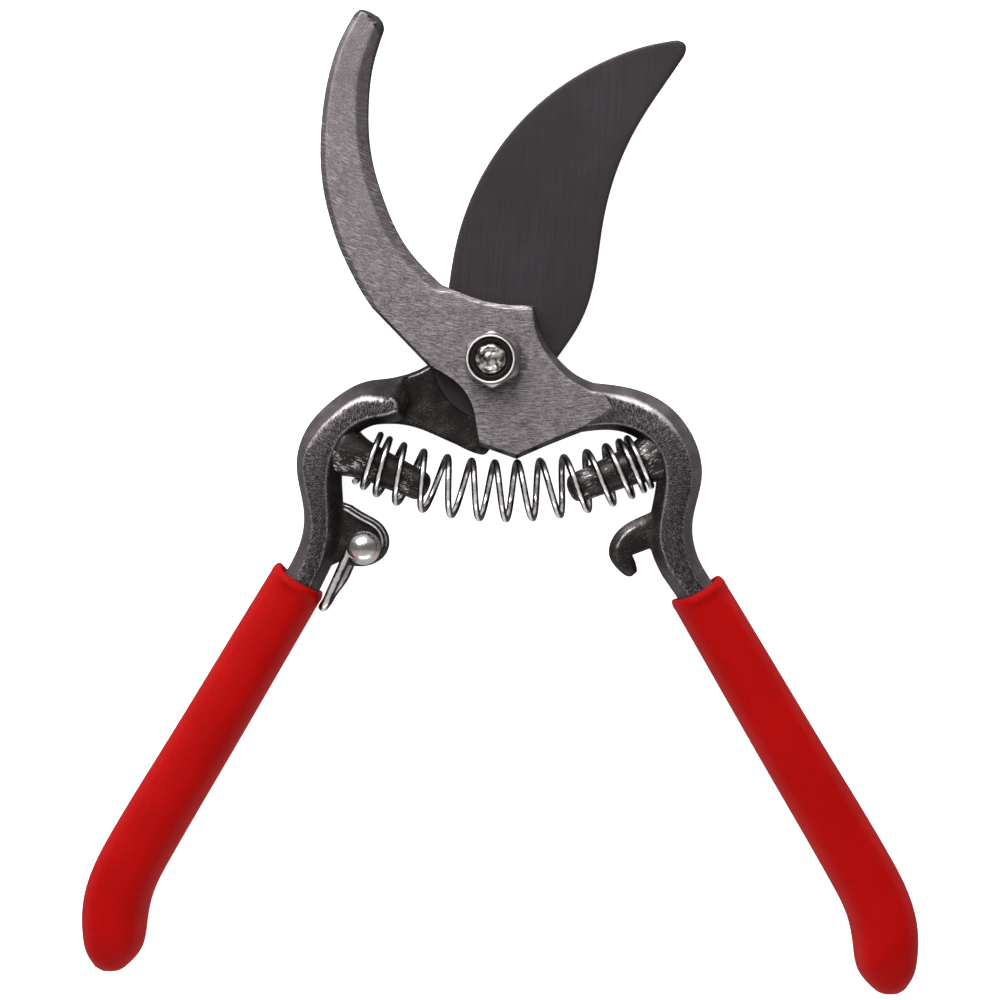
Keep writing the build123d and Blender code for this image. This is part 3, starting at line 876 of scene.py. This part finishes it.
def blade_forging(looks):
    plate, arch, lug = blade_rim(), left_arch_rim(), blade_lug_rim()
    edge = plate.points[: np.argmax(plate.points[:, 0])]

    def raised(q):
        """Positive on the ground blade and boss, negative on the rough web."""
        return np.maximum(BOSS_RADIUS - np.hypot(*q.T), past(q, *WEB_LINE))

    def lip(q, width):
        """Where the raised lip runs, round the rivet lug's upper and outer edge."""
        away, _ = lug.nearest(q)
        crest = np.exp(-((away - 1.3) / width) ** 2) + 0.8 * np.exp(-((away - 0.5) / (0.7 * width)) ** 2)
        return crest * lug.inside(q) * ramp(q[:, 1], -39.0, -36.0) * ramp(q[:, 0], -30.5, -29.2)

    def skins(q):
        ground = ramp(raised(q), -0.3, 0.0)
        top = WEB + (LAP - PLAY - WEB) * ground
        web = shelf(plate, q, top, 0.12) + (1 - ground) * (bumps(q, 3.0, 0.16, 2.0) - 0.12)
        rib = shelf(arch, q, RIB, 1.4) + bumps(q, 1.6, 0.10) - 0.10
        pad = shelf(lug, q, LAP + LUG_HALF - 0.35, 0.5) + 0.5 * lip(q, 0.36) + bumps(q, 2.0, 0.05, 4.0)
        upper = soft_max(soft_max(web, rib, 1.0), pad, 0.5)
        back = np.where(web > NOWHERE + 1, cut_level(q, edge), -NOWHERE)
        mirrored = 2 * LAP - np.maximum(rib, pad - 0.2)
        return upper, np.minimum(-soft_max(-back, -mirrored, 0.5), upper - 0.2)

    def marks(q):
        away, plateau, darkness_and_shade, shine = band_marks(arch, q)
        on_arch = arch.inside(q) | (away < 0.001)
        lower = 0.45 * ramp(-q[:, 1], 16.0, 30.0)
        darkness_and_shade = np.where(on_arch, darkness_and_shade * (1 - plateau) + plateau * lower, 0.97)
        # Painted highlights: bright lines along the web's upper edge and on the rivet lug's raised lip.
        web_shine = band_marks(plate, q)[3] * plate.inside(q)
        return on_arch * plateau, darkness_and_shade, np.where(on_arch, shine, np.maximum(web_shine, 0.8 * lip(q, 0.2)))

    def place(q, side):
        on_plate = plate.inside(q) & ~arch.inside(q)
        if side > 0:
            return np.where(on_plate & (raised(q) > -0.1), BLADE, FORGED)
        if side < 0:
            return np.where(on_plate, BLADE, FORGED)
        return np.where(q[:, 1] > 2, BLADE, FORGED)

    boss = [ring((0, 0), r, 120) for r in (BOSS_RADIUS, BOSS_RADIUS + 0.15, BOSS_RADIUS + 0.3)]
    boss = [row[raised(row * 1.05) < 0] for row in boss]
    holes = [((0.0, 0.0), SHANK_RADIUS + PLAY, 48), (RIVET, 1.5, 32)]
    rows = boss + [ring((0, 0), 3.5, 60), ring(RIVET, 1.9, 32)]
    rows += [inset(lug, amount) for amount in (0.45, 0.6, 0.75, 0.95, 1.1, 1.25, 1.4, 1.6, 1.8)]
    return relief("blade_forging", [plate, arch, lug], skins, looks, place, marks, holes, [], rows)


def spring_peg(name, root, tip, look):
    """A rough tapered peg in the middle plane: a rounded end, and a wide flared root that is flattened
    to the forging's thickness."""
    axis = Vector((tip[0] - root[0], tip[1] - root[1], 0))
    length = axis.length
    stations = [(0.0, 6.2), (1.2, 6.0), (2.2, 5.4), (3.2, 4.75), (4.4, 4.3), (5.6, 4.0), (7.0, 3.78),
                (9.0, 3.6), (11.0, 3.47), (13.0, 3.33), (15.0, 3.18), (length - 2.6, 3.02)]
    stations += [(length - 2.4 + 2.4 * sin(a), 3.0 * cos(a) ** 0.7) for a in np.linspace(0.1, 1.5, 8)]
    turn = Matrix.Translation((root[0], root[1], LAP)) @ axis.to_track_quat("Z", "Y").to_matrix().to_4x4()
    profile = [(radius, height) for height, radius in stations]
    peg = lathe(name, profile, [look], turn, 64)
    along = axis.normalized()
    for vertex in peg.data.vertices:
        place = vertex.co / MM
        off_axis = (place - Vector((*root, LAP))).cross(along).length
        place.z = LAP + (place.z - LAP) * min(1.0, PEG_HALF / max(off_axis, 1.0))
        vertex.co = (place + vertex.normal * 0.12 * noise.noise(place / 1.5)) * MM
    return peg


# ---- fasteners

HEX_FLATS = 10.3
HEX_CORNER = 0.563       # reach of its rounded corners, as a share of the flats' distance
NUT_TOP = 16.9
LEAN_FROM = 13.5         # the worn bolt leans above this level
LEAN = (-0.14, -0.05)    # how far it leans, per millimetre above that
NUT_SHIFT = -0.25        # how far the nut and the bolt's end sit off the axis along Y
CHAMFER_SLOPE = 1.7
HIGHLIT_CREST_FROM = 18.3       # the collar's crest above this level takes the paler plating: a painted highlight


def hexagon_radius(angle):
    """Distance from the middle of a hexagon with two corners along Y to its side."""
    nearest = (angle + pi / 6) % (pi / 3) - pi / 6
    return HEX_FLATS / 2 / cos(nearest)


def hex_body(bottom, top, low_chamfer, high_chamfer):
    """Rows of a hexagonal prism whose ends are chamfered by turning, to these heights."""
    a = turns(AROUND)
    flats = np.array([hexagon_radius(t) for t in a])
    levels = np.concatenate([
        bottom + low_chamfer * np.linspace(0, 1, 5), np.linspace(bottom, top, 6)[1:-1],
        top - high_chamfer * np.linspace(1, 0, 5)])
    rows = []
    for z in np.unique(levels):
        into_chamfer = max(0.0, bottom + low_chamfer - z, z - top + high_chamfer)
        radius = soft_min(flats, HEX_FLATS * HEX_CORNER - CHAMFER_SLOPE * into_chamfer, 0.3)
        rows.append(np.column_stack([radius * np.cos(a), radius * np.sin(a), np.full(AROUND, z)]))
    return rows


def leaning(rows):
    """The same rows, with those above the cheek moved as the worn bolt leans."""
    for row in rows:
        above = np.maximum(row[:, 2] - LEAN_FROM, 0)
        row[:, 0] += LEAN[0] * above
        row[:, 1] += LEAN[1] * above + NUT_SHIFT * ramp(row[:, 2], CHEEK - 0.5, CHEEK)
    return rows


def pivot_nut(looks):
    """Hexagon nut with a turned chamfer and a collar rolled in over its nylon ring, a painted highlight on
    its crest.
    """
    rows = circle_rows([(SHANK_RADIUS, CHEEK)]) + hex_body(CHEEK, NUT_TOP, 0.0, 0.75)
    rows += circle_rows([
        (5.06, NUT_TOP + 0.02), (5.02, NUT_TOP + 0.2), (5.02, 17.6), (4.98, 17.9), (4.88, 18.16),
        (4.74, 18.36), (4.6, 18.44), (4.5, 18.38), (4.4, 18.2), (4.32, 17.9), (4.3, NUT_TOP),
        (SHANK_RADIUS, NUT_TOP), (SHANK_RADIUS, 14.5)])
    # Painted highlight: the crest's rings take the second, paler plating.
    rolled = np.repeat([row[:, 2].min() > HIGHLIT_CREST_FROM for row in rows], AROUND)
    return rings_object("pivot_nut_visual", leaning(rows), looks, caps=False, places=rolled)


def nut_ring(looks):
    rows = circle_rows([
        (3.0, 16.95), (4.28, 16.95), (4.28, 17.6), (4.1, 17.75), (3.7, 17.82), (3.3, 17.75), (3.05, 17.55)])
    return rings_object("nylon_ring", leaning(rows), looks, caps=False)


def pivot_bolt(looks):
    """Hexagon head below, plain shank, and a worn and dished thread end above."""
    rows = circle_rows([(1.0, 0.12), (3.4, 0.12), (3.9, 0.0)]) + hex_body(0.0, 3.95, 0.7, 0.0)
    rows += circle_rows([(2.98, 3.95), (2.98, 13.5), (2.98, 15.0), (2.98, 17.9), (2.92, 18.15), (2.62, 18.4)])
    dish = [(2.3, 18.5), (2.05, 18.48), (1.75, 18.2), (1.4, 18.1), (1.0, 18.2), (0.6, 18.3), (0.25, 18.28)]
    rows += circle_rows(dish, wobble=0.26)
    return rings_object("pivot_bolt_visual", leaning(rows), looks)


def latch_rivet(looks):
    """Pin with a polished ball head above the bail's upper eye and a low head below its lower one."""
    ball = [(3.38 * cos(t), 12.95 + 3.28 * sin(t)) for t in np.linspace(0, 0.49 * pi, 22)]
    low_head = [(0.5, 1.6), (1.9, 1.6), (2.5, 1.9), (2.75, 2.4), (2.78, 2.9), (2.6, 3.14)]
    profile = low_head + [(1.5, 3.15), (1.5, 12.86), (3.1, 12.86), (3.3, 12.9)] + ball
    return lathe("latch_rivet_visual", profile, looks, Matrix.Translation((*RIVET, 0)), 72)


def bail_path():
    """One wire: round the lower eye, along a leg, across, back along a leg and round the upper eye."""
    eye, reach, half, bend, heading = 2.45, 14.4, 3.9, 1.4, radians(-125)
    lean = np.arccos(eye / reach)

    def loop(z, side):
        start = heading - lean
        turn = np.linspace(radians(262), 0, 40)
        points = [(eye * cos(start - t), eye * sin(start - t), z) for t in turn]
        return points if side < 0 else points[::-1]

    def along(distance, z):
        return (distance * cos(heading), distance * sin(heading), z)

    def leg(z, sway):
        start = Vector(loop(z, -1)[-1])
        finish = Vector(along(reach - bend, z))
        points = []
        for t in np.linspace(0.05, 1, 20)[:-1]:
            point = start.lerp(finish, t)
            shift = sway * ramp(t, 0.0, 0.3) * (1 - ramp(t, 0.5, 1.0))
            points.append((point.x - shift * sin(heading), point.y + shift * cos(heading), z))
        return points

    bottom, top = -half, half
    points = loop(bottom, -1) + leg(bottom, 1.0)
    for t in np.linspace(0, pi / 2, 8):
        points.append(along(reach - bend + bend * sin(t), bottom + bend - bend * cos(t)))
    for t in np.linspace(0, pi / 2, 8):
        points.append(along(reach - bend + bend * cos(t), top - bend + bend * sin(t)))
    points += leg(top, 0.0)[::-1] + loop(top, 1)
    return np.array(points) + np.array([RIVET[0], RIVET[1], LAP])


# ---- return spring

SPRING_LOW = (2.4, -26.4)       # lowest point of its bent axis
SPRING_BEND = 67.5              # radius of that bend
SPRING_REACH = radians(24.0)    # how far it bends to either side
COILS = 14


def spring_axis(share):
    """Middle of the coil, its bend angle and its coil radius, for a share from -1 (left) to 1."""
    closing = 0.135 * sin(pi * share) - 0.035 * sin(2 * pi * share)
    bend = SPRING_REACH * (share + closing) * (1 - 0.02 * share)
    narrow = max(0.0, abs(share) - 0.6) / 0.4
    lift = (0.7 if share < 0 else 0.3) * narrow
    x = SPRING_LOW[0] + SPRING_BEND * sin(bend)
    y = SPRING_LOW[1] + SPRING_BEND - SPRING_BEND * cos(bend) + lift
    return x, y, bend, 5.7 - 0.4 * narrow


def return_spring(looks):
    """The helix, whose coils close up evenly between the two halves."""
    steps, around = 40, 12
    count = COILS * steps
    path, weights, darkness_and_shade = [], [], []
    ends = [atan2(spring_axis(s)[1], spring_axis(s)[0]) for s in (-1, 1)]
    for i in range(count + 1):
        share = 2 * i / count - 1
        x, y, bend, radius = spring_axis(share)
        turn = 2 * pi * i / steps + pi
        out = radius * cos(turn)
        path.append((x - out * sin(bend), y + out * cos(bend), LAP + radius * sin(turn)))
        weights.append((ends[1] - atan2(y, x)) / (ends[1] - ends[0]))
        # Painted shade: each coil darkens on its side towards the points.
        darkness_and_shade.append(0.95 * ramp(cos(turn), 0.2, 0.85))
    wire = swept_tube("return_spring_visual", path, 0.67, looks, around)
    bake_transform(wire, "hook_half", "blade_half", start=(0.03, -0.02, 0.008), end=(-0.026, -0.02, 0.008))
    wire.data.attributes.new("darkness_and_shade", "FLOAT", "POINT")
    for name, values in (("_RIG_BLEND", weights), ("darkness_and_shade", darkness_and_shade)):
        rows = np.concatenate([values[:1], values, values[-1:]])
        wire.data.attributes[name].data.foreach_set("value", np.repeat(rows, around).astype(np.float32))
    return wire


# ---- grips

# middle of the mouth, lean, length, and how far the lip's outer and inner corners reach up past its middle
MOUTHS = {"left": ((-38.2, -42.9), -30.8, 88.7, 1.1, 0.3), "right": ((39.8, -45.0), 30.4, 91.3, 0.5, 0.9)}
# distance from the end, shift away from the other grip, width, thickness
GRIP_END = ((25.0, 0.0, 12.9, 16.0), (18.0, -0.5, 13.2, 16.0), (12.8, -1.9, 14.0, 16.0),
            (7.8, -3.8, 13.7, 15.2), (3.8, -4.8, 10.4, 12.2), (1.3, -5.3, 6.2, 7.7), (0.2, -5.4, 2.6, 3.2))
GRIP_ROUND = 2.6         # power of its section: 2 is an ellipse, more is squarer
LIP_DROP = 1.7           # how far the middle of the mouth's edge lies down the grip
MOUTH_REACH = 9.0        # how far down the grip the mouth's wave dies out


def grip_stations(length):
    """Section centres and sizes along a grip, read smoothly through the stated ones."""
    knots = [(0.0, 0.0, 11.4, 14.4), (20.0, 0.0, 11.9, 14.95), (42.0, 0.0, 12.4, 15.5)]
    knots += [(length - along, shift, width, thick) for along, shift, width, thick in GRIP_END]
    knots = np.array(knots)
    near_end = length - 26.0 * (1 - np.linspace(0, 1, 30)) ** 1.6 - 0.2
    wanted = np.concatenate([np.arange(2.0, length - 27, 2.0), near_end])
    return wanted, natural_spline(knots[:, 0], knots[:, 1:], wanted)


def grip(name, side, looks):
    """Dipped vinyl sleeve: a lip rolled round the steel at the mouth and a turned-in, rounded end."""
    mouth, lean, length, outer, inner = MOUTHS[side]
    lean = radians(lean)
    outward = 1 if lean > 0 else -1
    c, s = np.cos(turns(64)), np.sin(turns(64))

    def section(along, shift, width, thick, wave):
        """One ring; wave is how far the mouth's wavy edge carries it along the grip."""
        v = shift + 0.4975 * width * np.sign(c) * np.abs(c) ** (2 / GRIP_ROUND)
        z = LAP + 0.498 * thick * np.sign(s) * np.abs(s) ** (2 / GRIP_ROUND)
        ripple = LIP_DROP - outer * np.maximum(c, 0) ** 2 - inner * np.maximum(-c, 0) ** 2
        u = along + wave * ripple
        x = mouth[0] + u * sin(lean) + v * outward * cos(lean)
        y = mouth[1] - u * cos(lean) + v * outward * sin(lean)
        return np.column_stack([x, y, z])

    lip = [(7.0, 8.6, 10.6), (3.0, 8.6, 10.6), (1.0, 8.8, 11.0), (0.3, 9.1, 11.6), (-0.05, 9.7, 12.4),
           (-0.12, 10.3, 13.1), (0.05, 10.8, 13.7), (0.4, 11.2, 14.15), (0.9, 11.48, 14.38),
           (1.6, 11.6, 14.5)]
    rows = [section(along, 0.0, width, thick, 1.0) for along, width, thick in lip]
    stations, sizes = grip_stations(length)
    for along, (shift, width, thick) in zip(stations, sizes):
        rows.append(section(along, shift, width, thick, max(0.0, 1 - along / MOUTH_REACH)))
    return rings_object(name, rows, looks)


# ---- stage

CAMERA_PLACE = (0.0012, -0.0282, 0.5636)
LIT_PLACE = (0.0, -0.03, 0.0)    # what the lamps point at


def lamp(name, place, size, power):
    data = bpy.data.lights.new(name, "AREA")
    data.shape = "RECTANGLE"
    data.size, data.size_y = size
    data.energy = power
    light = bpy.data.objects.new(name, data)
    bpy.context.scene.collection.objects.link(light)
    light.location = place
    light.rotation_euler = (Vector(LIT_PLACE) - Vector(place)).to_track_quat("-Z", "Y").to_euler()
    return light


def studio():
    """Camera straight above, a broad lamp overhead, one beyond the points and a weak one at the grips."""
    scene = bpy.context.scene
    camera = bpy.data.objects.new("camera", bpy.data.cameras.new("camera"))
    scene.collection.objects.link(camera)
    camera.location = CAMERA_PLACE
    camera.data.lens, camera.data.sensor_width = 100, 36
    camera.data.clip_start, camera.data.clip_end = 0.01, 20
    scene.camera = camera
    scene.view_settings.view_transform = "Standard"
    scene.world = studio_sky()
    lamp("overhead", (-0.35, 0.4, 1.5), (1.0, 1.0), 9.2).visible_glossy = False
    lamp("key", (-0.22, 0.62, 0.55), (0.8, 0.5), 10)
    lamp("fill", (0.05, -0.75, 0.30), (0.9, 0.25), 1.6)


def studio_sky():
    """Soft surroundings: dark overhead, bright beyond the points and behind the grips."""
    world = bpy.data.worlds.new("studio")
    world.use_nodes = True
    nodes, links = world.node_tree.nodes, world.node_tree.links
    split, spread_out, bands = (nodes.new(kind) for kind in (
        "ShaderNodeSeparateXYZ", "ShaderNodeMapRange", "ShaderNodeValToRGB"))
    spread_out.inputs["From Min"].default_value = -1.0
    links.new(nodes.new("ShaderNodeTexCoord").outputs["Generated"], split.inputs[0])
    links.new(split.outputs["Y"], spread_out.inputs["Value"])
    links.new(spread_out.outputs[0], bands.inputs[0])
    links.new(bands.outputs["Color"], nodes["Background"].inputs["Color"])
    bands.color_ramp.interpolation = "EASE"
    levels = ((0.0, 0.46), (0.28, 0.46), (0.44, 0.15), (0.68, 0.14), (0.84, 0.46), (1.0, 0.46))
    set_stops(bands, [(position, (level, level, level, 1)) for position, level in levels])
    return world


def floor():
    side = 3.0
    z = float(cad_box[0].z) - 0.0002
    mesh = bpy.data.meshes.new("floor")
    corners = [(-side, -side, z), (side, -side, z), (side, side, z), (-side, side, z)]
    mesh.from_pydata(corners, [], [(0, 1, 2, 3)])
    mesh.materials.append(floor_look())
    obj = bpy.data.objects.new("floor", mesh)
    bpy.context.scene.collection.objects.link(obj)
    obj.visible_glossy = False


# ---- the shears

def stands_for(piece, body, node):
    """Fixes a piece to its body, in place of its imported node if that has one."""
    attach(piece, body)
    if node:
        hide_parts(node)


def build():
    steels = [ground_look(), forged_look(), blade_look()]
    dark, red, nylon = peg_look(), vinyl_look(), nylon_look()
    bright = plating_look("bright plating", ((136, 129, 126), (184, 177, 173)), (0.44, 0.34))
    polished = plating_look("polished plating", ((216, 210, 210), (240, 235, 234)), (0.25, 0.21))
    # A paler, less metallic plating for the nut collar's crest: a painted highlight.
    rolled = plating_look("rolled edge", ((214, 209, 204), (240, 236, 232)), (0.4, 0.3), 0.4)
    worn, wire = worn_end_look(), wire_look()
    stands_for(hook_forging(steels), "hook_half", "hook_handle")
    stands_for(blade_forging(steels), "blade_half", "blade_handle")
    right_peg = spring_peg("right_spring_peg", (33.5, -19.0), (14.9, -26.4), dark)
    stands_for(right_peg, "hook_half", None)
    left_peg = spring_peg("left_spring_peg", (-31.5, -17.7), (-13.1, -26.1), dark)
    stands_for(left_peg, "blade_half", None)
    stands_for(grip("left_grip_visual", "left", [red]), "blade_half", "left_grip")
    stands_for(grip("right_grip_visual", "right", [red]), "hook_half", "right_grip")
    stands_for(pivot_bolt([worn]), "hook_half", "pivot_bolt")
    stands_for(pivot_nut([bright, rolled]), "hook_half", "pivot_nut")
    stands_for(nut_ring([nylon]), "hook_half", "nut_insert")
    stands_for(latch_rivet([polished]), "blade_half", "latch_rivet")
    bail = swept_tube("latch_bail_visual", bail_path(), 0.9, [wire], 16)
    stands_for(bail, "latch", "latch_bail")
    spring = return_spring([wire])
    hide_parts("return_spring")


build()
floor()
studio()
